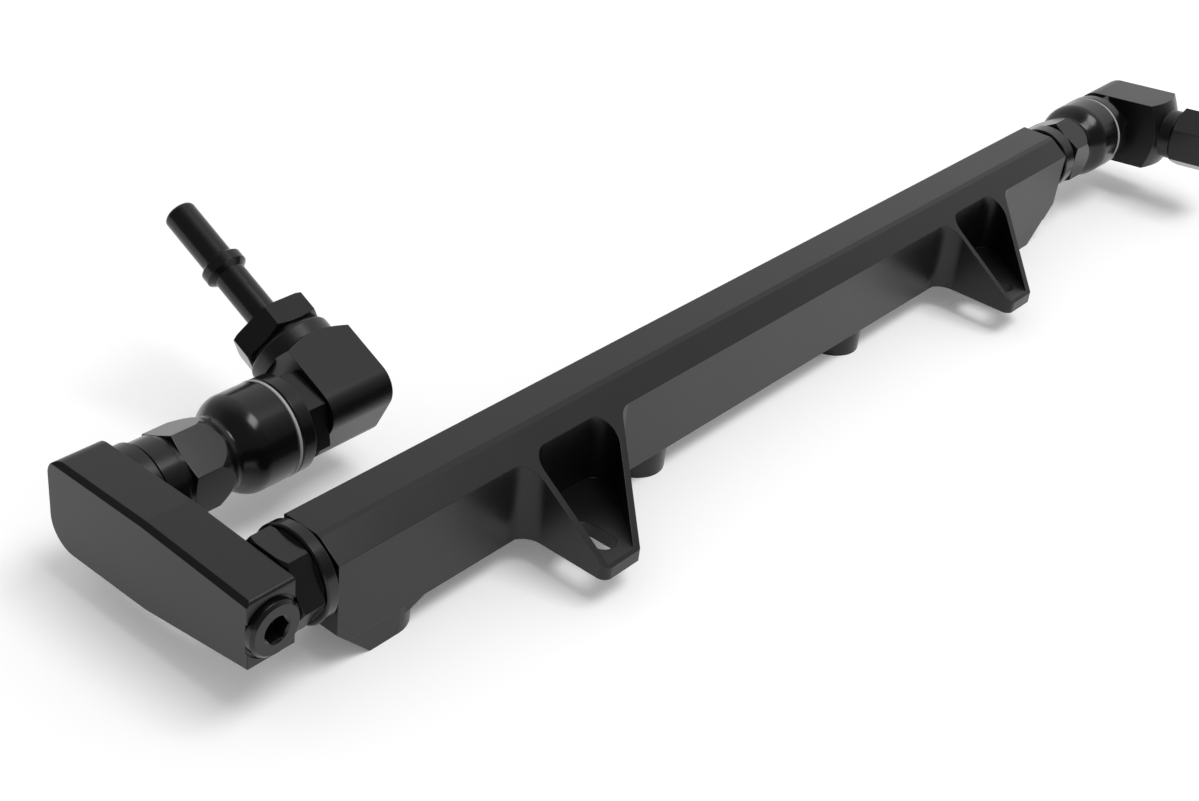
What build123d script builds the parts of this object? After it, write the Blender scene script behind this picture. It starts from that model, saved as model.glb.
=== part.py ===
from build123d import *
import os
from math import cos, radians, sin, sqrt, tan

# Fuel rail for four injectors, in millimetres, +Z up.
# The origin is the centre of the first injector pocket's mouth.
# +X runs along the rail to its far end and -Y is the side with the mounting brackets.

# Rail bar
injector_pitch = 105.0
injector_count = 4
near_overhang = 21.5
far_overhang = 30.2
rail_width = 19.25
rail_top = 37.7
rail_bottom = 7.65
facet_start = 1.6
facet_run = 1.57
facet_drop = 0.55
slope_angle = 35.0
edge_break = 0.4
near_chamfer_rise = 11.6
near_chamfer_run = 11.6
far_chamfer_rise = 13.0
far_chamfer_run = 14.5
pad_bottom = 5.3
pad_length = 24.7
pad_ramp = 6.0

# Fuel gallery and its threaded ports
gallery_y = 1.65
gallery_z = 26.2
gallery_diameter = 10.0
thread_diameter = 13.0
thread_play = 0.05
rail_port_depth = 13.0
rail_thread_length = 11.0
passage_diameter = 7.6

# Injector bosses and pockets
boss_diameter = 18.8
pocket_diameter = 14.0
pocket_depth = 15.5
pocket_lead = 0.8
feed_diameter = 6.0

# Mounting brackets
bracket_first = 45.05
bracket_pitch = 214.9
bracket_reach = 38.35
bracket_tip = 14.0
bracket_splay = 39.6
bracket_rib = 2.0
foot_bottom = 8.8
foot_top = 13.2
root_fillet = 6.4
tip_corner = 2.7
tip_far_corner = 0.8
hollow_back = 8.3
hollow_corner = 5.0
slot_width = 7.5
slot_travel = 6.0
slot_side = 8.6
slot_from_tip = 11.5

# Union between the rail and the arm
seal_washer = 1.45
seal_washer_diameter = 18.4
union_flange_diameter = 26.8
union_flange = 3.65
union_across_flats = 22.8
union_corner_angle = -2.0
union_hex = 7.6
seat_height = 0.5
seat_diameter = 20.0

# Seals that sit in a counterbore round a thread
ring_section = 1.8
ring_play = 0.05

# Arm that carries the fuel across to the swivel
arm_thickness = 14.4
arm_end_y = -9.45
arm_kink_y = 27.3
arm_far_y = 63.9
arm_end_low = 17.3
arm_end_high = 36.4
arm_low = 12.75
arm_high = 38.5
arm_top_chamfer = 1.3
arm_edge_break = 0.15
arm_end_round = 1.3
arm_top_corner = 5.0
arm_bottom_corner = 8.5
arm_boss_diameter = 25.4
arm_boss = 4.3
arm_floor = 2.9
arm_port_depth = 8.6
arm_thread_length = 8.0
swivel_y = 52.65
swivel_port_depth = 9.6

# Plug that closes the arm's drilled passage
plug_diameter = 15.0
plug_head = 2.6
plug_spotface = 0.6
plug_spotface_play = 0.8
plug_thread_diameter = 10.4
plug_thread_length = 3.4
plug_thread_relief = 0.5
plug_socket = 6.4
plug_socket_depth = 1.9
plug_ring_section = 1.4
arm_drill_point = 2.0

# Swivel couplings, the same at both ends
collar_diameter = 23.8
collar_end = 6.9
groove_width = 1.6
groove_diameter = 22.0
housing_across_flats = 22.2
hex_corner_end = 16.7
hex_fade_end = 21.2
neck_station = 23.9
neck_diameter = 20.6
bulb_diameter = 27.8
bulb_full = 31.0
bulb_end = 40.5
bulb_edge = 0.5
housing_thread_length = 9.0
socket_diameter = 14.0
socket_start = 27.0
flange_pocket_diameter = 20.0
flange_pocket_start = 33.0
running_play = 0.05
swivel_flange = 3.6
circlip_thickness = 1.0
circlip_depth = 1.0
circlip_inner_diameter = 16.2
circlip_gap = 3.0
circlip_play = 0.1
swivel_neck_diameter = 15.2
nose_gap = 0.5
thrust_washer = 0.9
thrust_washer_diameter = 28.0
swivel_undercut = 0.3
swivel_undercut_diameter = 25.8
swivel_round = 4.3
swivel_across_flats = 22.2
swivel_hex = 6.9
swivel_seat = 0.2
swivel_ring_section = 1.8
swivel_ring_depth = 1.6
swivel_ring_pitch = 3.2
near_housing_corner_angle = 35.4
near_swivel_corner_angle = 20.3
far_housing_corner_angle = 30.0
far_swivel_corner_angle = 30.0

# Elbow blocks, the far one with a longer outlet
elbow_thickness = 21.8
elbow_height = 25.4
elbow_back = 10.7
elbow_corner = 7.5
elbow_cone_angle = 30.0
near_collar_diameter = 25.2
near_rim = 1.2
near_elbow_front = 14.8
near_collar_end = 19.7
far_collar_diameter = 18.8
far_rim = 0.3
far_elbow_front = 23.9
far_collar_end = 28.3
elbow_inlet_depth = 9.0
elbow_outlet_depth = 11.0
elbow_drill_overrun = 2.0
spigot_thread_length = 8.0
near_outlet_angle = 26.1
far_outlet_angle = 174.0

# Quick-connect spout on the near elbow
spout_thread_length = 9.0
spout_hex_start = 1.2
spout_across_flats = 22.6
spout_hex = 7.3
spout_diameter = 9.49
spout_shank_diameter = 9.3
spout_bore = 6.2
spout_bead_diameter = 12.7
spout_bead_start = 26.9
spout_bead = 5.7
spout_bead_land = 2.8
spout_length = 51.5
spout_tip_radius = 1.3

# Outlet adapter on the far elbow
outlet_seat_diameter = 18.0
outlet_hex_start = 0.7
outlet_across_flats = 20.6
outlet_corner_angle = 33.0
outlet_hex = 17.0
outlet_port_depth = 14.0

# How far a cutting shape runs past the face it cuts
cut_margin = 1.0

# Places worked out from the sizes above
half_width = rail_width / 2
near_face = -near_overhang
last_injector = injector_pitch * (injector_count - 1)
far_face = last_injector + far_overhang
rail_length = far_face - near_face
slope = tan(radians(slope_angle))
slope_y = -facet_start - facet_run
slope_z = rail_top - facet_drop
union_length = seal_washer + union_flange + union_hex + seat_height
arm_front = near_face - union_length
arm_back = arm_front - arm_thickness
arm_middle = arm_front - arm_thickness / 2
swivel_z = (arm_low + arm_high) / 2
thread_radius = thread_diameter / 2
male_radius = thread_radius - thread_play
washer_start = bulb_end + ring_play
spigot_face = washer_start + thrust_washer
elbow_face = spigot_face + swivel_undercut + swivel_round + swivel_hex + swivel_seat

os.makedirs("parts", exist_ok=True)


def save(built, name):
    """Labels a finished piece and writes its file."""
    built.part.label = name
    export_step(built.part, f"parts/{name}.step")


def side_of(base):
    """The plane through a turned piece's axis: its x is along the axis, its y is the radius."""
    return Plane(base.origin, x_dir=base.z_dir, z_dir=base.z_dir.cross(base.x_dir))


def spin_axis(base):
    """The axis that a turned piece is turned about."""
    return Axis(base.origin, base.z_dir)


def half_section(base, stations):
    """A turned outline, from (distance along the axis, radius) stations."""
    first = stations[0][0]
    last = stations[-1][0]
    with BuildSketch(side_of(base)) as half:
        with BuildLine():
            Polyline((first, 0), *stations, (last, 0), close=True)
        make_face()
    return half.sketch


def corner_radius(across_flats):
    """Radius over the corners of a hexagon."""
    return across_flats / sqrt(3)


def outside_hexagon(base, across_flats, corner_angle=0.0):
    """What six flats leave outside them: extruded away, it makes a hexagon."""
    with BuildSketch(base) as ring:
        Circle(across_flats)
        RegularPolygon(
            across_flats / 2, 6, major_radius=False, rotation=corner_angle, mode=Mode.SUBTRACT
        )
    return ring.sketch


def port(depth, bore_diameter, bore_end):
    """Stations of a threaded port with a counterbore for its seal, then a drilled bore."""
    ring_radius = thread_radius + ring_section + ring_play
    ring_depth = ring_section + ring_play
    bore_radius = bore_diameter / 2
    drill_point = depth + thread_radius - bore_radius
    return [
        (0, ring_radius),
        (ring_depth, ring_radius),
        (ring_depth, thread_radius),
        (depth, thread_radius),
        (drill_point, bore_radius),
        (bore_end, bore_radius),
    ]


def thread_seal(base, name):
    """The O-ring in a port's counterbore, round the thread of what is screwed in."""
    with BuildPart() as seal:
        with BuildSketch(side_of(base)):
            with Locations((ring_section / 2, male_radius + ring_section / 2 + ring_play)):
                Circle(ring_section / 2)
        revolve(axis=spin_axis(base))
    save(seal, name)


def turned_plane(x, y, z, direction, angle=0.0):
    """A plane across the rail's length axis, its x turned by an angle from +Y to +Z."""
    across = (0, cos(radians(angle)), sin(radians(angle)))
    return Plane((x, y, z), x_dir=across, z_dir=(direction, 0, 0))


def bracket_places():
    """Where the near rib of each bracket stands."""
    return [bracket_first, bracket_first + bracket_pitch]


def slope_height(y):
    """Height of the sloping front plane over a depth y."""
    return slope_z + (y - slope_y) * slope


# Rail body: one bar, milled with its injector bosses and mounting brackets
splay = tan(radians(bracket_splay))
rib_across = bracket_rib / cos(radians(bracket_splay))
boss_radius = boss_diameter / 2
pocket_radius = pocket_diameter / 2

with BuildPart() as rail_body:
    with BuildSketch(Plane.YZ.offset(near_face)):
        with BuildLine():
            Polyline(
                (half_width - edge_break, rail_bottom),
                (half_width, rail_bottom + edge_break),
                (half_width, rail_top - edge_break),
                (half_width - edge_break, rail_top),
                (-half_width, rail_top),
                (-half_width, rail_bottom + edge_break),
                (-half_width + edge_break, rail_bottom),
                close=True,
            )
        make_face()
    extrude(amount=rail_length)

    # injector bosses, the outer two running on to the ends of the bar
    with BuildSketch(Plane.XY):
        for number in range(injector_count):
            with Locations((number * injector_pitch, 0)):
                Circle(boss_radius)
        with Locations((near_face / 2, 0)):
            Rectangle(near_overhang, boss_diameter)
        with Locations((last_injector + far_overhang / 2, 0)):
            Rectangle(far_overhang, boss_diameter)
    extrude(amount=rail_bottom + edge_break)

    # pads under both ends, with a ramp up to the bar
    for end, way, overhang in ((near_face, 1, near_overhang), (far_face, -1, far_overhang)):
        with BuildSketch(Plane.XZ.offset(-half_width + edge_break)):
            with BuildLine():
                Polyline(
                    (end, rail_bottom + edge_break),
                    (end, pad_bottom),
                    (end + way * pad_length, pad_bottom),
                    (end + way * (pad_length + pad_ramp), rail_bottom),
                    (end + way * (pad_length + pad_ramp), rail_bottom + edge_break),
                    close=True,
                )
            make_face()
        extrude(amount=rail_width - 2 * edge_break)

    # bracket blanks, blended into the front of the bar
    for near_rib in bracket_places():
        far_root = near_rib + bracket_tip + splay * (bracket_reach - half_width)
        with BuildSketch(Plane.XY.offset(foot_bottom)) as bracket_plan:
            with BuildLine():
                Polyline(
                    (near_rib, -half_width),
                    (near_rib, -bracket_reach),
                    (near_rib + bracket_tip, -bracket_reach),
                    (far_root, -half_width),
                    close=True,
                )
            make_face()
            with Locations(((near_rib + far_root) / 2, -half_width + root_fillet / 2)):
                Rectangle(far_root - near_rib + 6 * root_fillet, root_fillet)
            roots = bracket_plan.vertices().group_by(Axis.Y)[1].sort_by(Axis.X)[1:3]
            fillet(roots, root_fillet)
            near_tip = bracket_plan.vertices().group_by(Axis.Y)[0].sort_by(Axis.X)[0]
            fillet(near_tip, tip_corner)
            far_tip = bracket_plan.vertices().group_by(Axis.Y)[0].sort_by(Axis.X)[-1]
            fillet(far_tip, tip_far_corner)
        extrude(amount=rail_top - edge_break - foot_bottom)

    # the facet and the sloping face, milled across the bar and the brackets alike
    with BuildSketch(Plane.YZ.offset(near_face)):
        with BuildLine():
            Polyline(
                (-facet_start, rail_top),
                (slope_y, slope_z),
                (-bracket_reach - bracket_tip, slope_height(-bracket_reach - bracket_tip)),
                (-bracket_reach - bracket_tip, rail_top + cut_margin),
                (-facet_start, rail_top + cut_margin),
                close=True,
            )
        make_face()
    extrude(amount=rail_length, mode=Mode.SUBTRACT)

    # hollows of the brackets, down to their foot plates
    for near_rib in bracket_places():
        rear = -hollow_back
        open_front = -bracket_reach - bracket_rib
        far_rear = near_rib + bracket_tip - rib_across + splay * (bracket_reach + rear)
        far_front = near_rib + bracket_tip - rib_across + splay * (bracket_reach + open_front)
        with BuildSketch(Plane.XY.offset(foot_top)) as hollow_plan:
            with BuildLine():
                Polyline(
                    (near_rib + bracket_rib, rear),
                    (near_rib + bracket_rib, open_front),
                    (far_front, open_front),
                    (far_rear, rear),
                    close=True,
                )
            make_face()
            fillet(hollow_plan.vertices().group_by(Axis.Y)[-1], hollow_corner)
        extrude(amount=rail_top, mode=Mode.SUBTRACT)

        # slot for the mounting bolt
        with BuildSketch(Plane.XY.offset(foot_bottom)):
            with Locations((near_rib + slot_side, -bracket_reach + slot_from_tip)):
                SlotCenterToCenter(slot_travel, slot_width, rotation=90)
        extrude(amount=foot_top - foot_bottom, mode=Mode.SUBTRACT)

    # sloping lower corners of the two ends
    with BuildSketch(Plane.XZ.offset(-half_width - cut_margin)):
        with BuildLine():
            Polyline(
                (near_face, near_chamfer_rise),
                (near_face + near_chamfer_run, 0),
                (near_face, 0),
                close=True,
            )
        make_face()
        with BuildLine():
            Polyline(
                (far_face, far_chamfer_rise),
                (far_face - far_chamfer_run, 0),
                (far_face, 0),
                close=True,
            )
        make_face()
    extrude(amount=rail_width + 2 * cut_margin, mode=Mode.SUBTRACT)

    # gallery and its ports
    for end, way in ((near_face, 1), (far_face, -1)):
        mouth = turned_plane(end, gallery_y, gallery_z, way)
        gallery_radius = gallery_diameter / 2
        stations = [
            (0, thread_radius),
            (rail_port_depth, thread_radius),
            (rail_port_depth + thread_radius - gallery_radius, gallery_radius),
            (rail_length / 2, gallery_radius),
        ]
        revolve(half_section(mouth, stations), axis=spin_axis(mouth), mode=Mode.SUBTRACT)

    # injector pockets, each with a feed hole up to the gallery
    for number in range(injector_count):
        mouth = Plane((number * injector_pitch, 0, 0))
        feed_radius = feed_diameter / 2
        stations = [
            (0, pocket_radius + pocket_lead),
            (pocket_lead * 2, pocket_radius),
            (pocket_depth, pocket_radius),
            (pocket_depth + (pocket_radius - feed_radius) / 2, feed_radius),
            (gallery_z, feed_radius),
        ]
        revolve(half_section(mouth, stations), axis=spin_axis(mouth), mode=Mode.SUBTRACT)
save(rail_body, "rail_body")


# Union: flange and hexagon, screwed into the rail and the arm
near_mouth = turned_plane(near_face, gallery_y, gallery_z, -1)
with BuildPart() as near_union:
    flange_end = seal_washer + union_flange
    hex_end = flange_end + union_hex
    hex_corner = corner_radius(union_across_flats)
    stations = [
        (-rail_thread_length, male_radius - edge_break),
        (-rail_thread_length + edge_break, male_radius),
        (seal_washer, male_radius),
        (seal_washer, union_flange_diameter / 2 - edge_break),
        (seal_washer + edge_break, union_flange_diameter / 2),
        (flange_end - edge_break, union_flange_diameter / 2),
        (flange_end, union_flange_diameter / 2 - edge_break),
        (flange_end, union_across_flats / 2 + edge_break),
        (flange_end + 2 * edge_break, hex_corner),
        (hex_end - 2 * edge_break, hex_corner),
        (hex_end, union_across_flats / 2 + edge_break),
        (hex_end, seat_diameter / 2),
        (union_length, seat_diameter / 2),
        (union_length, male_radius),
        (union_length + arm_thread_length - edge_break, male_radius),
        (union_length + arm_thread_length, male_radius - edge_break),
    ]
    revolve(half_section(near_mouth, stations), axis=spin_axis(near_mouth))
    flats = outside_hexagon(near_mouth.offset(flange_end), union_across_flats, union_corner_angle)
    extrude(flats, amount=union_hex, mode=Mode.SUBTRACT)
    bore = [
        (-rail_thread_length, passage_diameter / 2),
        (union_length + arm_thread_length, passage_diameter / 2),
    ]
    revolve(half_section(near_mouth, bore), axis=spin_axis(near_mouth), mode=Mode.SUBTRACT)
save(near_union, "near_union")


def rail_seal_washer(mouth, name):
    """Flat washer that seals a fitting on the end of the rail."""
    with BuildPart() as washer:
        with BuildSketch(mouth):
            Circle(seal_washer_diameter / 2)
            Circle(thread_radius, mode=Mode.SUBTRACT)
        extrude(amount=seal_washer)
    save(washer, name)


rail_seal_washer(near_mouth, "near_rail_washer")
far_mouth = turned_plane(far_face, gallery_y, gallery_z, 1)
rail_seal_washer(far_mouth, "far_rail_washer")


# Arm: a flat block that tapers to its front end, with a round boss for the swivel
union_port = turned_plane(arm_front, gallery_y, gallery_z, -1)
boss_face = arm_front + arm_boss
swivel_port = turned_plane(boss_face, swivel_y, swivel_z, -1)
plug_seat = Plane((arm_middle, arm_end_y + plug_spotface, gallery_z), x_dir=(1, 0, 0), z_dir=(0, -1, 0))
plug_head_radius = plug_diameter / 2
plug_male_radius = plug_thread_diameter / 2
plug_ring_radius = plug_male_radius + plug_ring_section + 3 * ring_play


def top_edge_wedge(start, finish):
    """What a wide chamfer takes off the arm's outer face along a top edge."""
    begin = Vector(arm_back, *start)
    with BuildSketch(Plane(begin, x_dir=(1, 0, 0), z_dir=Vector(arm_back, *finish) - begin)) as wedge:
        with BuildLine():
            Polyline(
                (arm_top_chamfer + cut_margin, -cut_margin),
                (-cut_margin, arm_top_chamfer + cut_margin),
                (-cut_margin, -cut_margin),
                close=True,
            )
        make_face()
    return wedge.sketch


with BuildPart() as arm_block:
    with BuildSketch(Plane.YZ.offset(arm_back)) as arm_side:
        with BuildLine():
            Polyline(
                (arm_end_y, arm_end_low),
                (arm_kink_y, arm_low),
                (arm_far_y, arm_low),
                (arm_far_y, arm_high),
                (arm_kink_y, arm_high),
                (arm_end_y, arm_end_high),
                close=True,
            )
        make_face()
        end_corners = arm_side.vertices().group_by(Axis.X)[0].sort_by(Axis.Y)
        fillet(end_corners[-1], arm_end_round)
        far_corners = arm_side.vertices().group_by(Axis.X)[-1].sort_by(Axis.Y)
        fillet(far_corners[-1], arm_top_corner)
        far_low = arm_side.vertices().group_by(Axis.X)[-1].sort_by(Axis.Y)[0]
        fillet(far_low, arm_bottom_corner)
    extrude(amount=arm_thickness)
    back_edges = arm_block.faces().sort_by(Axis.X)[0].edges()
    chamfer(back_edges, arm_edge_break)
    front_edges = arm_block.faces().sort_by(Axis.X)[-1].edges()
    chamfer(front_edges, arm_edge_break)
    end_top = (arm_end_y, arm_end_high)
    kink_top = (arm_kink_y, arm_high)
    far_top = (arm_far_y, arm_high)
    for start, finish in ((end_top, kink_top), (kink_top, far_top)):
        length = (Vector(*finish) - Vector(*start)).length
        extrude(top_edge_wedge(start, finish), amount=length, mode=Mode.SUBTRACT)
    with BuildSketch(swivel_port):
        Circle(arm_boss_diameter / 2)
    extrude(amount=arm_boss + arm_edge_break)
    boss_rim = arm_block.edges().filter_by(GeomType.CIRCLE).sort_by(Axis.X)[-1]
    chamfer(boss_rim, arm_edge_break)

    revolve(
        half_section(union_port, port(arm_port_depth, passage_diameter, arm_thickness - arm_floor)),
        axis=spin_axis(union_port),
        mode=Mode.SUBTRACT,
    )
    boss_bore_end = arm_boss + arm_thickness - arm_floor
    revolve(
        half_section(swivel_port, port(swivel_port_depth, passage_diameter, boss_bore_end)),
        axis=spin_axis(swivel_port),
        mode=Mode.SUBTRACT,
    )
    into_arm = Plane(plug_seat.origin, x_dir=plug_seat.x_dir, z_dir=-plug_seat.z_dir)
    passage_end = swivel_y - plug_seat.origin.Y
    stations = [
        (-plug_spotface - cut_margin, plug_head_radius + plug_spotface_play),
        (0, plug_head_radius + plug_spotface_play),
        (0, plug_ring_radius),
        (plug_ring_section + ring_play, plug_ring_radius),
        (plug_ring_section + ring_play, plug_male_radius + thread_play),
        (plug_thread_length + plug_thread_relief, plug_male_radius + thread_play),
        (plug_thread_length + plug_thread_relief, passage_diameter / 2),
        (passage_end, passage_diameter / 2),
        (passage_end + arm_drill_point, edge_break),
    ]
    revolve(half_section(into_arm, stations), axis=spin_axis(into_arm), mode=Mode.SUBTRACT)
save(arm_block, "arm_block")
thread_seal(union_port, "union_arm_seal")
thread_seal(swivel_port, "near_housing_seal")


# Plug with a hexagon socket
with BuildPart() as arm_plug:
    stations = [
        (-plug_thread_length, plug_male_radius - edge_break),
        (-plug_thread_length + edge_break, plug_male_radius),
        (0, plug_male_radius),
        (0, plug_head_radius),
        (plug_head - 2 * edge_break, plug_head_radius),
        (plug_head, plug_head_radius - 2 * edge_break),
    ]
    revolve(half_section(plug_seat, stations), axis=spin_axis(plug_seat))
    with BuildSketch(plug_seat.offset(plug_head)):
        RegularPolygon(plug_socket / 2, 6, major_radius=False)
    extrude(amount=-plug_head - plug_socket_depth, mode=Mode.SUBTRACT)
    socket_lead = corner_radius(plug_socket) - plug_socket / 2
    countersink = [
        (plug_head - socket_lead, plug_socket / 2),
        (plug_head, corner_radius(plug_socket) + socket_lead / 2),
    ]
    revolve(half_section(plug_seat, countersink), axis=spin_axis(plug_seat), mode=Mode.SUBTRACT)
save(arm_plug, "arm_plug")

with BuildPart() as arm_plug_seal:
    with BuildSketch(side_of(into_arm)):
        with Locations((plug_ring_section / 2, plug_male_radius + plug_ring_section / 2 + ring_play)):
            Circle(plug_ring_section / 2)
    revolve(axis=spin_axis(into_arm))
save(arm_plug_seal, "arm_plug_seal")


def swivel_housing(base, name):
    """Collar, hexagon, neck and bulb, turned in one; the bulb holds the swivel's socket."""
    flange_pocket_radius = flange_pocket_diameter / 2
    groove_start = flange_pocket_start + swivel_flange + circlip_play
    bulb_radius = bulb_diameter / 2
    collar_radius = collar_diameter / 2
    hex_start = collar_end + groove_width
    flat_radius = housing_across_flats / 2
    hex_corner = corner_radius(housing_across_flats)
    with BuildPart() as housing:
        with BuildSketch(side_of(base)):
            with BuildLine():
                Polyline(
                    (0, 0),
                    (-housing_thread_length, 0),
                    (-housing_thread_length, male_radius - edge_break),
                    (-housing_thread_length + edge_break, male_radius),
                    (0, male_radius),
                    (0, seat_diameter / 2),
                    (seat_height, seat_diameter / 2),
                    (seat_height, collar_radius - edge_break),
                    (seat_height + edge_break, collar_radius),
                    (collar_end - edge_break, collar_radius),
                    (collar_end, collar_radius - edge_break),
                    (collar_end, groove_diameter / 2),
                    (hex_start, groove_diameter / 2),
                    (hex_start, flat_radius),
                    (hex_start + edge_break, hex_corner),
                    (hex_corner_end, hex_corner),
                )
                Spline(
                    (hex_corner_end, hex_corner),
                    (hex_fade_end, flat_radius),
                    (neck_station, neck_diameter / 2),
                    tangents=((1, -0.35), (1, 0)),
                )
                Spline(
                    (neck_station, neck_diameter / 2),
                    (bulb_full, bulb_radius),
                    tangents=((1, 0), (1, 0)),
                    tangent_scalars=(0.4, 1.4),
                )
                Polyline(
                    (bulb_full, bulb_radius),
                    (bulb_end - bulb_edge, bulb_radius),
                    (bulb_end, bulb_radius - bulb_edge),
                    (bulb_end, 0),
                    (0, 0),
                )
            make_face()
        revolve(axis=spin_axis(base))
        flats = outside_hexagon(base.offset(hex_start), housing_across_flats)
        extrude(flats, amount=neck_station - hex_start, mode=Mode.SUBTRACT)
        stations = [
            (-housing_thread_length, passage_diameter / 2),
            (socket_start, passage_diameter / 2),
            (socket_start, socket_diameter / 2),
            (flange_pocket_start, socket_diameter / 2),
            (flange_pocket_start, flange_pocket_radius),
            (groove_start, flange_pocket_radius),
            (groove_start, flange_pocket_radius + circlip_depth),
            (groove_start + circlip_thickness, flange_pocket_radius + circlip_depth),
            (groove_start + circlip_thickness, flange_pocket_radius),
            (bulb_end, flange_pocket_radius),
        ]
        revolve(half_section(base, stations), axis=spin_axis(base), mode=Mode.SUBTRACT)
    save(housing, name)


def ring_stations():
    """Middles of the two seals on the spigot's nose."""
    middle = (socket_start + flange_pocket_start) / 2
    return [middle - swivel_ring_pitch / 2, middle + swivel_ring_pitch / 2]


def swivel_spigot(base, name):
    """Nose with two seal grooves, flange, round land, hexagon and the thread into the elbow."""
    nose_radius = socket_diameter / 2 - running_play
    groove_radius = nose_radius - swivel_ring_depth
    half_groove = swivel_ring_section / 2 + ring_play
    neck_radius = swivel_neck_diameter / 2
    flange_end = flange_pocket_start + swivel_flange
    hex_corner = corner_radius(swivel_across_flats)
    round_start = spigot_face + swivel_undercut
    round_end = round_start + swivel_round
    hex_end = round_end + swivel_hex
    stations = [(socket_start + nose_gap, nose_radius)]
    for middle in ring_stations():
        stations += [
            (middle - half_groove, nose_radius),
            (middle - half_groove, groove_radius),
            (middle + half_groove, groove_radius),
            (middle + half_groove, nose_radius),
        ]
    stations += [
        (flange_pocket_start + running_play, nose_radius),
        (flange_pocket_start + running_play, flange_pocket_diameter / 2 - running_play),
        (flange_end, flange_pocket_diameter / 2 - running_play),
        (flange_end, neck_radius),
        (spigot_face, neck_radius),
        (spigot_face, swivel_undercut_diameter / 2),
        (round_start, swivel_undercut_diameter / 2),
        (round_start, bulb_diameter / 2 - edge_break),
        (round_start + edge_break, bulb_diameter / 2),
        (round_end, bulb_diameter / 2),
        (round_end + edge_break, hex_corner),
        (hex_end - edge_break / 2, hex_corner),
        (hex_end, hex_corner - edge_break / 2),
        (hex_end, seat_diameter / 2),
        (elbow_face, seat_diameter / 2),
        (elbow_face, male_radius),
        (elbow_face + spigot_thread_length - edge_break, male_radius),
        (elbow_face + spigot_thread_length, male_radius - edge_break),
    ]
    with BuildPart() as spigot:
        revolve(half_section(base, stations), axis=spin_axis(base))
        flats = outside_hexagon(base.offset(round_end), swivel_across_flats)
        extrude(flats, amount=swivel_hex, mode=Mode.SUBTRACT)
        bore = [
            (socket_start + nose_gap, passage_diameter / 2),
            (elbow_face + spigot_thread_length, passage_diameter / 2),
        ]
        revolve(half_section(base, bore), axis=spin_axis(base), mode=Mode.SUBTRACT)
    save(spigot, name)


def swivel_small_parts(base, end_name):
    """The nose's two seals, the circlip that keeps the flange in, and the thrust washer."""
    nose_radius = socket_diameter / 2 - running_play
    ring_middle = nose_radius - swivel_ring_depth / 2
    for number, middle in enumerate(ring_stations()):
        with BuildPart() as seal:
            with BuildSketch(side_of(base)):
                with Locations((middle, ring_middle)):
                    Ellipse(swivel_ring_section / 2, swivel_ring_depth / 2)
            revolve(axis=spin_axis(base))
        side_name = ("inner", "outer")[number]
        save(seal, f"{end_name}_{side_name}_seal")
    circlip_start = flange_pocket_start + swivel_flange + circlip_play
    circlip_outer = flange_pocket_diameter / 2 + circlip_depth - ring_play
    with BuildPart() as circlip:
        with BuildSketch(base.offset(circlip_start)):
            Circle(circlip_outer)
            Circle(circlip_inner_diameter / 2, mode=Mode.SUBTRACT)
            with Locations((circlip_outer, 0)):
                Rectangle(circlip_outer, circlip_gap, mode=Mode.SUBTRACT)
        extrude(amount=circlip_thickness)
    save(circlip, f"{end_name}_circlip")
    with BuildPart() as washer:
        with BuildSketch(base.offset(washer_start)):
            Circle(thrust_washer_diameter / 2)
            Circle(swivel_neck_diameter / 2 + ring_play, mode=Mode.SUBTRACT)
        extrude(amount=thrust_washer)
        rims = washer.edges().filter_by(GeomType.CIRCLE).sort_by(SortBy.RADIUS)[-2:]
        fillet(rims, thrust_washer / 3)
    save(washer, f"{end_name}_thrust_washer")


near_base = turned_plane(boss_face, swivel_y, swivel_z, 1, near_housing_corner_angle)
far_base = turned_plane(far_face + seal_washer, gallery_y, gallery_z, 1, far_housing_corner_angle)
swivel_housing(near_base, "near_swivel_housing")
swivel_housing(far_base, "far_swivel_housing")
near_hex_base = turned_plane(boss_face, swivel_y, swivel_z, 1, near_swivel_corner_angle)
far_hex_base = turned_plane(far_base.origin.X, gallery_y, gallery_z, 1, far_swivel_corner_angle)
swivel_spigot(near_hex_base, "near_swivel_spigot")
swivel_spigot(far_hex_base, "far_swivel_spigot")
swivel_small_parts(near_base, "near")
swivel_small_parts(far_base, "far")


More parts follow.
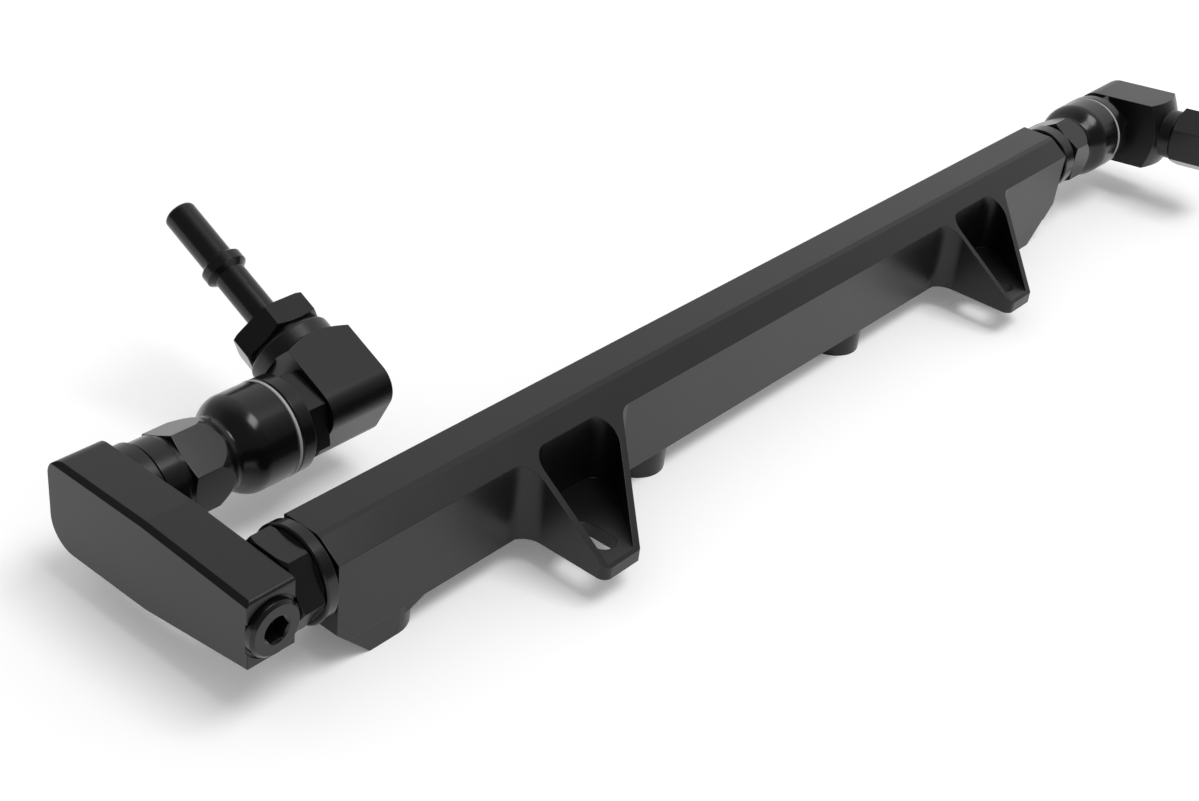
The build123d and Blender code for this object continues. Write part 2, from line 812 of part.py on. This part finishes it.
def elbow_block(base, elbow_front, collar_diameter, collar_end, rim, name):
    """Square block turned down to a collar where the outlet screws in; x is the outlet's way."""
    half_height = elbow_height / 2
    cone = tan(radians(elbow_cone_angle))
    middle = base.offset(elbow_thickness / 2).origin
    outlet = Plane(middle, x_dir=base.z_dir, z_dir=base.x_dir)
    corner_reach = sqrt(half_height**2 + (elbow_thickness / 2) ** 2) + cut_margin
    collar_radius = collar_diameter / 2
    with BuildPart() as elbow:
        with BuildSketch(base) as block:
            with Locations(((elbow_front - elbow_back) / 2, 0)):
                Rectangle(elbow_front + elbow_back, elbow_height)
            fillet(block.vertices().group_by(Axis.X)[0], elbow_corner)
        extrude(amount=elbow_thickness)
        cone_foot = elbow_front - (corner_reach - collar_radius) * cone
        with BuildSketch(side_of(outlet)):
            with BuildLine():
                Polyline(
                    (elbow_front, collar_radius),
                    (elbow_front, corner_reach),
                    (cone_foot, corner_reach),
                    close=True,
                )
            make_face()
        revolve(axis=spin_axis(outlet), mode=Mode.SUBTRACT)
        with BuildSketch(outlet.offset(elbow_front - edge_break)):
            Circle(collar_radius)
        extrude(amount=collar_end - elbow_front + edge_break)
        collar_rim = elbow.edges().filter_by(GeomType.CIRCLE).sort_by(spin_axis(outlet))[-1]
        fillet(collar_rim, rim)
        stations = port(elbow_inlet_depth, passage_diameter, elbow_thickness / 2 + elbow_drill_overrun)
        revolve(half_section(base, stations), axis=spin_axis(base), mode=Mode.SUBTRACT)
        mouth = outlet.offset(collar_end)
        back_in = Plane(mouth.origin, x_dir=mouth.x_dir, z_dir=-mouth.z_dir)
        stations = port(elbow_outlet_depth, passage_diameter, collar_end)
        revolve(half_section(back_in, stations), axis=spin_axis(back_in), mode=Mode.SUBTRACT)
    save(elbow, name)
    return back_in


near_elbow_base = turned_plane(boss_face + elbow_face, swivel_y, swivel_z, 1, near_outlet_angle)
far_elbow_base = turned_plane(far_base.origin.X + elbow_face, gallery_y, gallery_z, 1, far_outlet_angle)
near_back_in = elbow_block(
    near_elbow_base,
    near_elbow_front,
    near_collar_diameter,
    near_collar_end,
    near_rim,
    "near_elbow",
)
far_back_in = elbow_block(
    far_elbow_base,
    far_elbow_front,
    far_collar_diameter,
    far_collar_end,
    far_rim,
    "far_elbow",
)
thread_seal(near_elbow_base, "near_elbow_seal")
thread_seal(far_elbow_base, "far_elbow_seal")
thread_seal(near_back_in, "spout_seal")
thread_seal(far_back_in, "outlet_seal")


# Quick-connect spout: hexagon, tube and the bead that the connector clips behind
spout_base = Plane(near_back_in.origin, x_dir=(1, 0, 0), z_dir=-near_back_in.z_dir)
with BuildPart() as spout:
    tube_radius = spout_diameter / 2
    shank_radius = spout_shank_diameter / 2
    bead_radius = spout_bead_diameter / 2
    bead_flank = (spout_bead - spout_bead_land) / 2
    hex_end = spout_hex_start + spout_hex
    hex_corner = corner_radius(spout_across_flats)
    stations = [
        (-spout_thread_length, male_radius - edge_break),
        (-spout_thread_length + edge_break, male_radius),
        (0, male_radius),
        (0, seat_diameter / 2),
        (spout_hex_start, seat_diameter / 2),
        (spout_hex_start, spout_across_flats / 2),
        (spout_hex_start + 2 * edge_break, hex_corner),
        (hex_end - edge_break, hex_corner),
        (hex_end, hex_corner - 2 * edge_break),
        (hex_end, shank_radius),
        (spout_bead_start, shank_radius),
        (spout_bead_start + bead_flank, bead_radius),
        (spout_bead_start + spout_bead - bead_flank, bead_radius),
        (spout_bead_start + spout_bead, tube_radius),
        (spout_length, tube_radius),
    ]
    revolve(half_section(spout_base, stations), axis=spin_axis(spout_base))
    tip_rim = spout.edges().filter_by(GeomType.CIRCLE).sort_by(spin_axis(spout_base))[-1]
    fillet(tip_rim, spout_tip_radius)
    flats = outside_hexagon(spout_base.offset(spout_hex_start), spout_across_flats)
    extrude(flats, amount=spout_hex, mode=Mode.SUBTRACT)
    bore = [(-spout_thread_length, spout_bore / 2), (spout_length, spout_bore / 2)]
    revolve(half_section(spout_base, bore), axis=spin_axis(spout_base), mode=Mode.SUBTRACT)
save(spout, "spout")


# Outlet adapter: a long hexagon with a threaded port in its end
outlet_base = Plane(far_back_in.origin, x_dir=(1, 0, 0), z_dir=-far_back_in.z_dir)
with BuildPart() as outlet_adapter:
    hex_end = outlet_hex_start + outlet_hex
    hex_corner = corner_radius(outlet_across_flats)
    stations = [
        (-spout_thread_length, male_radius - edge_break),
        (-spout_thread_length + edge_break, male_radius),
        (0, male_radius),
        (0, outlet_seat_diameter / 2),
        (outlet_hex_start, outlet_seat_diameter / 2),
        (outlet_hex_start, outlet_across_flats / 2),
        (outlet_hex_start + 2 * edge_break, hex_corner),
        (hex_end - 2 * edge_break, hex_corner),
        (hex_end, outlet_across_flats / 2),
    ]
    revolve(half_section(outlet_base, stations), axis=spin_axis(outlet_base))
    hex_plane = outlet_base.offset(outlet_hex_start)
    flats = outside_hexagon(hex_plane, outlet_across_flats, outlet_corner_angle)
    extrude(flats, amount=outlet_hex, mode=Mode.SUBTRACT)
    open_end = outlet_base.offset(hex_end)
    back_in = Plane(open_end.origin, x_dir=open_end.x_dir, z_dir=-open_end.z_dir)
    stations = port(outlet_port_depth, passage_diameter, hex_end + spout_thread_length)
    revolve(half_section(back_in, stations), axis=spin_axis(back_in), mode=Mode.SUBTRACT)
save(outlet_adapter, "outlet_adapter")
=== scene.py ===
# %% [markdown]
# # A fuel rail in satin black
#
# A fuel rail is a milled aluminium bar that feeds four injectors. This one has a crossover arm at its near
# end, a swivel elbow with a quick-connect spout behind it, and a second swivel elbow at its far end.
# The solids come from the CAD model, already in their places and in metres. This lesson lights and
# photographs them, gives them their real surfaces, and adds the thread that the open outlet shows.

# %% Load the CAD model
from math import cos, radians, sin

import bpy
from mathutils import Matrix, Vector


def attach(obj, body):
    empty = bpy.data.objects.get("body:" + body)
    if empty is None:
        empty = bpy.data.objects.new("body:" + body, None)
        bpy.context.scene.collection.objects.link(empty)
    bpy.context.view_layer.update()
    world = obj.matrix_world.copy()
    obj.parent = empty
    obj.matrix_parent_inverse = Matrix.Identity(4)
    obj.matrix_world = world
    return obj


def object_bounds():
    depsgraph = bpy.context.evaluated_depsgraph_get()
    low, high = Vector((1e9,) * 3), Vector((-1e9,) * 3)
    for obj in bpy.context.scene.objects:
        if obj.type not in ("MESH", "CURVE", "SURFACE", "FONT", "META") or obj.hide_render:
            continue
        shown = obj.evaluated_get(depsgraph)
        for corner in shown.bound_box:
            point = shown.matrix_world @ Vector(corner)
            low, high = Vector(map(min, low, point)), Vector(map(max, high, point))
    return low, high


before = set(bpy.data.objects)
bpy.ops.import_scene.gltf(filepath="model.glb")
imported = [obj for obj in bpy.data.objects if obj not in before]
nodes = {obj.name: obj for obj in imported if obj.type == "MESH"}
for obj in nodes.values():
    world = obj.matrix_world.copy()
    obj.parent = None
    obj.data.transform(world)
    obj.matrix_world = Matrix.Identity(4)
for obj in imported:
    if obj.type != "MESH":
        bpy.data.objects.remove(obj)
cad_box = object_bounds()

MM = 0.001
print("pieces from the CAD model:", len(nodes))
print("lowest corner in mm:", [round(v / MM, 1) for v in cad_box[0]])
print("highest corner in mm:", [round(v / MM, 1) for v in cad_box[1]])

# %% [markdown]
# ## Where the photographer stood
#
# The straight edges of the bar give the camera: it looks down along the rail from its near end, over the
# arm. The camera's matrix is written from its own right, up and forward directions, which is surer than
# turning it by three angles. Its sensor is 36 mm on the long side, as in a full-frame camera.

# %% Camera
CAMERA_PLACE = (-0.25185, -0.24799, 0.29276)
CAMERA_RIGHT = (0.6403, -0.7612, 0.1028)
CAMERA_UP = (0.3543, 0.4114, 0.8397)
CAMERA_FORWARD = (0.6815, 0.5013, -0.5332)
LENS_MM = 53.47
SENSOR_MM = 36.0

camera_data = bpy.data.cameras.new("camera")
camera = bpy.data.objects.new("camera", camera_data)
bpy.context.scene.collection.objects.link(camera)
columns = (Vector(CAMERA_RIGHT), Vector(CAMERA_UP), -Vector(CAMERA_FORWARD))
turn = Matrix(columns).transposed().to_quaternion().to_matrix()
camera.matrix_world = Matrix.Translation(CAMERA_PLACE) @ turn.to_4x4()
camera_data.sensor_width = SENSOR_MM
camera_data.lens = LENS_MM
camera_data.clip_start = 0.01
camera_data.clip_end = 20.0
bpy.context.scene.camera = camera
bpy.context.scene.view_settings.view_transform = "Standard"
print("camera is", round(camera.location.length, 3), "m from the first injector pocket")

# %% [markdown]
# ## A small kit for materials
#
# Every finish below is a few nodes in a row. One function turns a hex colour, as it looks on a screen, into
# the linear numbers that Blender computes with. Another adds a node, sets it and joins its inputs, so each
# material reads from top to bottom like a recipe.


# %% Colour and node helpers
def hex_colour(text):
    """A hex colour as linear red, green, blue and a full alpha."""
    channels = [int(text[i:i + 2], 16) / 255 for i in (1, 3, 5)]
    linear = [c / 12.92 if c <= 0.04045 else ((c + 0.055) / 1.055) ** 2.4 for c in channels]
    return (*linear, 1.0)


def add_node(tree, kind, settings=None, **inputs):
    """A node with its settings. An input is named, or numbered as i0, i1; it gets a value or an output."""
    node = tree.nodes.new(kind)
    for key, value in (settings or {}).items():
        setattr(node, key, value)
    for key, value in inputs.items():
        by_number = key[0] == "i" and key[1:].isdigit()
        socket = node.inputs[int(key[1:]) if by_number else key.replace("_", " ")]
        if isinstance(value, bpy.types.NodeSocket):
            tree.links.new(value, socket)
        else:
            socket.default_value = value
    return node


def new_material(name):
    """An empty node material with its output."""
    material = bpy.data.materials.new(name)
    material.use_nodes = True
    material.node_tree.nodes.clear()
    output = material.node_tree.nodes.new("ShaderNodeOutputMaterial")
    return material, material.node_tree, output


print("mid grey, linear:", round(hex_colour("#808080")[0], 3))

# %% [markdown]
# ## The studio
#
# The real rail lies on a white sheet that fills the picture. A plane takes its place. It is nearly white of
# itself, and the last bit of white is a faint glow for camera, gloss and glass rays only, so it doesn't
# light the rail and the shadows stay dark where the rail comes near the sheet.

# %% Floor
FLOOR_HALF = 3.0
FLOOR_GLOW = 0.13
PAPER_WHITE = "#f4f4f4"
floor_height = cad_box[0][2]


def sees_background(tree):
    """1 for camera, gloss and glass rays, 0 for the rays that carry diffuse light."""
    path = add_node(tree, "ShaderNodeLightPath").outputs
    either = add_node(
        tree, "ShaderNodeMath", {"operation": "MAXIMUM"}, i0=path["Is Camera Ray"], i1=path["Is Glossy Ray"]
    ).outputs[0]
    return add_node(
        tree, "ShaderNodeMath", {"operation": "MAXIMUM"}, i0=either, i1=path["Is Transmission Ray"]
    ).outputs[0]


bpy.ops.object.select_all(action="DESELECT")
bpy.ops.mesh.primitive_plane_add(size=2 * FLOOR_HALF, location=(0, 0, floor_height))
floor = bpy.context.object
floor.name = "floor"
sheet_material, tree, output = new_material("white_paper_sheet")
paper = add_node(tree, "ShaderNodeBsdfDiffuse", Color=hex_colour(PAPER_WHITE))
glow_strength = add_node(
    tree, "ShaderNodeMath", {"operation": "MULTIPLY"}, i0=sees_background(tree), i1=FLOOR_GLOW
)
glow = add_node(tree, "ShaderNodeEmission", Strength=glow_strength.outputs[0])
both = add_node(tree, "ShaderNodeAddShader", i0=paper.outputs[0], i1=glow.outputs[0])
tree.links.new(both.outputs[0], output.inputs["Surface"])
floor.data.materials.append(sheet_material)
print("floor at", round(floor_height / MM, 2), "mm")

# %% [markdown]
# ## The room round the sheet
#
# A black part shows little but reflections, so the room matters more than the lamp. In the photograph the
# wall beyond the far end is bright and the side behind the camera is dark: the bar's top shines while the
# chamfer along the arm is black. One direction and a smooth ramp give that, for gloss rays only. Camera and
# glass rays see plain white, and diffuse light comes evenly from all sides.

# %% World
ROOM_LIGHT = 0.60
WHITE_SIDE = (0.75, 0.50, 0.43)
DARK_BELOW = 0.05
WHITE_ABOVE = 0.95
DARK_SIDE_LEVEL = 0.15
WHITE_SIDE_LEVEL = 0.85
world = bpy.data.worlds.new("studio")
bpy.context.scene.world = world
world.use_nodes = True
tree = world.node_tree
tree.nodes.clear()
world_output = tree.nodes.new("ShaderNodeOutputWorld")
direction = add_node(tree, "ShaderNodeTexCoord").outputs["Generated"]
towards_white = add_node(
    tree, "ShaderNodeVectorMath", {"operation": "DOT_PRODUCT"}, i0=direction, i1=WHITE_SIDE
).outputs["Value"]
walls = add_node(
    tree,
    "ShaderNodeMapRange",
    {"interpolation_type": "SMOOTHSTEP"},
    Value=towards_white,
    From_Min=DARK_BELOW,
    From_Max=WHITE_ABOVE,
    To_Min=DARK_SIDE_LEVEL,
    To_Max=WHITE_SIDE_LEVEL,
).outputs[0]
path = add_node(tree, "ShaderNodeLightPath").outputs
clear_view = add_node(
    tree, "ShaderNodeMath", {"operation": "MAXIMUM"}, i0=path["Is Camera Ray"], i1=path["Is Transmission Ray"]
).outputs[0]
gloss_level = add_node(
    tree, "ShaderNodeMath", {"operation": "MULTIPLY"}, i0=path["Is Glossy Ray"], i1=walls
).outputs[0]
seen_level = add_node(
    tree, "ShaderNodeMath", {"operation": "MAXIMUM"}, i0=clear_view, i1=gloss_level
).outputs[0]
backdrop = add_node(tree, "ShaderNodeBackground", Color=(1, 1, 1, 1), Strength=seen_level)
room = add_node(tree, "ShaderNodeBackground", Color=(1, 1, 1, 1), Strength=ROOM_LIGHT)
mixed = add_node(
    tree, "ShaderNodeMixShader", i0=sees_background(tree), i1=room.outputs[0], i2=backdrop.outputs[0]
)
tree.links.new(mixed.outputs[0], world_output.inputs["Surface"])
print("room light", ROOM_LIGHT)

# %% [markdown]
# ## One soft lamp
#
# A single softbox hangs high over the bracket side. It shows as a soft pale patch on the swivel's bulb,
# lights the sheet, and throws the short shadow with a bright hole in it under each bracket's slot. It
# stands well back, so its light hardly fades along the bar.

# %% Softbox
LAMP_AIM = Vector((0.10, 0.02, 0.02))
LAMP_DISTANCE = 2.6
SOFTBOX_WAY = (0.12, -0.34, 0.93)
SOFTBOX_WIDTH = 1.7
SOFTBOX_HEIGHT = 1.0
SOFTBOX_WATTS = 35.0


def soft_lamp(name, towards, width, height, watts):
    """A rectangular softbox that faces the rail from the given direction."""
    data = bpy.data.lights.new(name, "AREA")
    data.shape = "RECTANGLE"
    data.size = width
    data.size_y = height
    data.energy = watts
    lamp = bpy.data.objects.new(name, data)
    bpy.context.scene.collection.objects.link(lamp)
    way = Vector(towards).normalized()
    lamp.location = LAMP_AIM + way * LAMP_DISTANCE
    lamp.rotation_mode = "QUATERNION"
    lamp.rotation_quaternion = way.to_track_quat("Z", "Y")
    return lamp


softbox = soft_lamp("softbox", SOFTBOX_WAY, SOFTBOX_WIDTH, SOFTBOX_HEIGHT, SOFTBOX_WATTS)
print("softbox at", [round(v, 2) for v in softbox.location], "m")

# %% [markdown]
# ## Black anodised aluminium
#
# Anodising grows a clear, hard oxide film on aluminium and dyes it black. What the eye gets is a nearly
# black body colour under a satin sheen that brightens at grazing angles. Bar and blocks are milled and bead
# blasted first, which leaves an even grain of about 0.1 mm; fittings come off a lathe and keep fine rings.
# A metal shader would tint its gloss with the black dye and lose it, so a non-metal shader is used over a
# dark base colour. Each fitting's pattern is laid along its own axis, so its rings run round it, whichever
# way it points.

# %% The anodised finish
OXIDE_IOR = 1.45
DYE_DARK = "#09090a"
DYE_PALE = "#0e0e0f"
CLOUD_SIZE = 22 * MM
GRAIN_SIZE = 0.45 * MM       # real grit is about 0.1 mm, drawn coarser so that it shows
TURNING_PITCH = 0.35 * MM    # the real feed is about 0.1 mm, drawn coarser so that it shows
CLOUD_DETAIL = 3.0
CLOUD_ROUGHNESS = 0.5
GRAIN_DETAIL = 2.0
GRAIN_ROUGHNESS = 0.6
GRAIN_DEPTH = 0.02 * MM
GRAIN_STRENGTH = 0.25
SHEEN_SPREAD = 0.04          # how far the roughness wanders either way
EDGE_RADIUS = 0.25 * MM      # no real edge is quite sharp, so each one catches a line of light
EDGE_SAMPLES = 6
BLASTED_ROUGHNESS = 0.32
TURNED_ROUGHNESS = 0.21


def pattern_place(tree, centre, turned):
    """Object coordinates with their Y along the piece's own axis."""
    place = add_node(tree, "ShaderNodeTexCoord").outputs["Object"]
    return add_node(
        tree, "ShaderNodeMapping", {"vector_type": "TEXTURE"}, Vector=place, Location=centre, Rotation=turned
    ).outputs[0]


def ring_place(tree, place):
    """Distance from the axis and place along it, which is what a lathe's rings follow."""
    off_axis = add_node(
        tree, "ShaderNodeVectorMath", {"operation": "MULTIPLY"}, i0=place, i1=(1, 0, 1)
    ).outputs[0]
    radius = add_node(tree, "ShaderNodeVectorMath", {"operation": "LENGTH"}, i0=off_axis).outputs["Value"]
    along = add_node(tree, "ShaderNodeSeparateXYZ", Vector=place).outputs["Y"]
    return add_node(tree, "ShaderNodeCombineXYZ", X=radius, Y=along).outputs[0]


def anodised(name, centre=(0, 0, 0), turned=(0, 0, 0), lathe=False):
    """Black anodised aluminium: bead blasted, or with the rings of a lathe."""
    roughness = TURNED_ROUGHNESS if lathe else BLASTED_ROUGHNESS
    material, tree, output = new_material(name)
    place = pattern_place(tree, centre, turned)
    cloud = add_node(
        tree,
        "ShaderNodeTexNoise",
        Vector=place,
        Scale=1 / CLOUD_SIZE,
        Detail=CLOUD_DETAIL,
        Roughness=CLOUD_ROUGHNESS,
    ).outputs["Fac"]
    dye = add_node(
        tree,
        "ShaderNodeMix",
        {"data_type": "RGBA"},
        Factor=cloud,
        A=hex_colour(DYE_DARK),
        B=hex_colour(DYE_PALE),
    )
    grain_from = ring_place(tree, place) if lathe else place
    grain_scale = 1 / (TURNING_PITCH if lathe else GRAIN_SIZE)
    grain = add_node(
        tree,
        "ShaderNodeTexNoise",
        Vector=grain_from,
        Scale=grain_scale,
        Detail=GRAIN_DETAIL,
        Roughness=GRAIN_ROUGHNESS,
    ).outputs["Fac"]
    sheen = add_node(
        tree,
        "ShaderNodeMapRange",
        Value=cloud,
        To_Min=roughness - SHEEN_SPREAD,
        To_Max=roughness + SHEEN_SPREAD,
    ).outputs[0]
    soft_edge = add_node(tree, "ShaderNodeBevel", {"samples": EDGE_SAMPLES}, Radius=EDGE_RADIUS).outputs[0]
    bump = add_node(
        tree, "ShaderNodeBump", Strength=GRAIN_STRENGTH, Distance=GRAIN_DEPTH, Height=grain, Normal=soft_edge
    ).outputs[0]
    shader = add_node(
        tree, "ShaderNodeBsdfPrincipled", Roughness=sheen, Normal=bump, Metallic=0.0, IOR=OXIDE_IOR
    )
    tree.links.new(dye.outputs["Result"], shader.inputs["Base Color"])
    tree.links.new(shader.outputs[0], output.inputs["Surface"])
    return material


ALONG_X = (0, 0, radians(-90))
NEAR_OUTLET_TURN = radians(26.1)
FAR_OUTLET_TURN = radians(174.0)
near_axis = (0, 52.65 * MM, 25.625 * MM)
rail_axis = (0, 1.65 * MM, 26.2 * MM)
spout_axis = (33.65 * MM, 52.65 * MM, 25.625 * MM)
outlet_axis = (410.7 * MM, 1.65 * MM, 26.2 * MM)
plug_axis = (-41.9 * MM, 0, 26.2 * MM)

blasted = anodised("bead_blasted_black_anodised_aluminium")
finishes = {
    "rail_body": blasted,
    "arm_block": blasted,
    "near_elbow": blasted,
    "far_elbow": blasted,
}
turned_on_rail = anodised("turned_black_anodised_rail_axis", rail_axis, ALONG_X, True)
turned_on_swivel = anodised("turned_black_anodised_swivel_axis", near_axis, ALONG_X, True)
turned_spout = anodised("turned_black_anodised_spout", spout_axis, (NEAR_OUTLET_TURN, 0, 0), True)
turned_outlet = anodised("turned_black_anodised_outlet", outlet_axis, (FAR_OUTLET_TURN, 0, 0), True)
turned_plug = anodised("turned_black_anodised_plug", plug_axis, (0, 0, 0), True)
for name in ("near_union", "near_rail_washer", "far_rail_washer", "far_swivel_housing", "far_swivel_spigot"):
    finishes[name] = turned_on_rail
for name in ("near_swivel_housing", "near_swivel_spigot"):
    finishes[name] = turned_on_swivel
finishes["spout"] = turned_spout
finishes["outlet_adapter"] = turned_outlet
finishes["arm_plug"] = turned_plug
print("anodised pieces:", len(finishes))

# %% [markdown]
# ## Seals, thrust washers and circlips
#
# The O-rings are moulded nitrile rubber, matt and a little greyer than the metal. The ring that shows
# between the bulb and the turning half of each swivel is a thrust washer turned from grey acetal. The
# circlips are spring steel with a thin dark phosphate coat, and only show when a swivel is taken apart.


# %% The small parts' finishes
METAL_IOR = 1.5              # the shader's default, which a metal keeps
NITRILE_IOR = 1.52
ACETAL_IOR = 1.48
SMALL_GRAIN_SIZE = 0.6 * MM  # mould and tool marks are finer, drawn coarser so that they show
SMALL_GRAIN_DETAIL = 3.0
SMALL_GRAIN_ROUGHNESS = 0.55
SMALL_GRAIN_DEPTH = 0.02 * MM
SMALL_GRAIN_STRENGTH = 0.3
SMALL_SHEEN_SPREAD = 0.05


def plain_finish(name, dark, pale, roughness, ior, metallic=0.0):
    """A finish with a fine grain that tints and roughens it a little."""
    material, tree, output = new_material(name)
    place = pattern_place(tree, (0, 0, 0), (0, 0, 0))
    grain = add_node(
        tree,
        "ShaderNodeTexNoise",
        Vector=place,
        Scale=1 / SMALL_GRAIN_SIZE,
        Detail=SMALL_GRAIN_DETAIL,
        Roughness=SMALL_GRAIN_ROUGHNESS,
    ).outputs["Fac"]
    tint = add_node(
        tree, "ShaderNodeMix", {"data_type": "RGBA"}, Factor=grain, A=hex_colour(dark), B=hex_colour(pale)
    )
    sheen = add_node(
        tree,
        "ShaderNodeMapRange",
        Value=grain,
        To_Min=roughness - SMALL_SHEEN_SPREAD,
        To_Max=roughness + SMALL_SHEEN_SPREAD,
    ).outputs[0]
    bump = add_node(
        tree, "ShaderNodeBump", Strength=SMALL_GRAIN_STRENGTH, Distance=SMALL_GRAIN_DEPTH, Height=grain
    ).outputs[0]
    shader = add_node(
        tree, "ShaderNodeBsdfPrincipled", Roughness=sheen, Normal=bump, Metallic=metallic, IOR=ior
    )
    tree.links.new(tint.outputs["Result"], shader.inputs["Base Color"])
    tree.links.new(shader.outputs[0], output.inputs["Surface"])
    return material


rubber = plain_finish("moulded_nitrile_rubber", "#161616", "#202020", 0.62, NITRILE_IOR)
acetal = plain_finish("turned_grey_acetal", "#9a9a98", "#a8a8a6", 0.45, ACETAL_IOR)
phosphated_steel = plain_finish("phosphated_spring_steel", "#6a6a6c", "#7c7c7e", 0.42, METAL_IOR, 1.0)
for name in nodes:
    if name.endswith("_seal"):
        finishes[name] = rubber
    if name.endswith("_thrust_washer"):
        finishes[name] = acetal
    if name.endswith("_circlip"):
        finishes[name] = phosphated_steel
print("pieces without a finish:", sorted(set(nodes) - set(finishes)))

# %% [markdown]
# ## Dressing the pieces
#
# Each piece came from the CAD model with a plain grey slot. That slot is emptied and gets the piece's own
# finish, so two pieces that are made alike share one material.

# %% Give every piece its finish
for name, piece in nodes.items():
    piece.data.materials.clear()
    piece.data.materials.append(finishes[name])
print("pieces dressed:", len(finishes))

# %% [markdown]
# ## The thread in the open outlet
#
# The outlet adapter ends in a threaded port for a hose fitting. A tap cuts such a thread: one sharp groove
# that climbs the bore at 1.5 mm a turn. What the eye sees is the ridge that the tap leaves, so only the
# ridge is modelled. A three-cornered profile is screwed round the port's axis, its two open ends are
# filled, and it is then turned and moved into the port. Its root lies just under the bore's wall, so no gap
# shows there.

# %% Outlet thread
THREAD_PITCH = 1.5 * MM
THREAD_TURNS = 7
PORT_RADIUS = 6.5 * MM
RIDGE_SIDE = 0.62 * MM       # from the profile's middle to its corners
THREAD_START = 33.0 * MM     # from the swivel's axis, along the outlet
STEPS_A_TURN = 48

bpy.ops.object.select_all(action="DESELECT")
bpy.ops.mesh.primitive_circle_add(
    vertices=3,
    radius=RIDGE_SIDE,
    fill_type="NOTHING",
    location=(PORT_RADIUS - RIDGE_SIDE / 3, 0, 0),
    rotation=(radians(90), radians(-90), 0),
)
outlet_thread = bpy.context.object
outlet_thread.name = "outlet_thread"
bpy.ops.object.transform_apply(location=True, rotation=True, scale=True)
print("profile corners in mm:", [[round(c / MM, 2) for c in v.co] for v in outlet_thread.data.vertices])

climb = outlet_thread.modifiers.new("climb", "SCREW")
climb.axis = "Z"
climb.angle = radians(360)
climb.screw_offset = THREAD_PITCH
climb.iterations = THREAD_TURNS
climb.steps = STEPS_A_TURN
climb.render_steps = STEPS_A_TURN
bpy.ops.object.modifier_apply(modifier=climb.name)

bpy.ops.object.mode_set(mode="EDIT")
bpy.ops.mesh.select_all(action="SELECT")
bpy.ops.mesh.fill_holes(sides=3)
bpy.ops.mesh.select_all(action="SELECT")
bpy.ops.mesh.normals_make_consistent(inside=False)
bpy.ops.object.mode_set(mode="OBJECT")

outlet_way = Vector((0, cos(FAR_OUTLET_TURN), sin(FAR_OUTLET_TURN)))
outlet_thread.rotation_mode = "QUATERNION"
outlet_thread.rotation_quaternion = outlet_way.to_track_quat("Z", "X")
outlet_thread.location = Vector(outlet_axis) + outlet_way * THREAD_START
bpy.ops.object.transform_apply(location=True, rotation=True, scale=True)
outlet_thread.data.materials.append(turned_outlet)
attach(outlet_thread, "far_swivel")
print("thread faces:", len(outlet_thread.data.polygons))
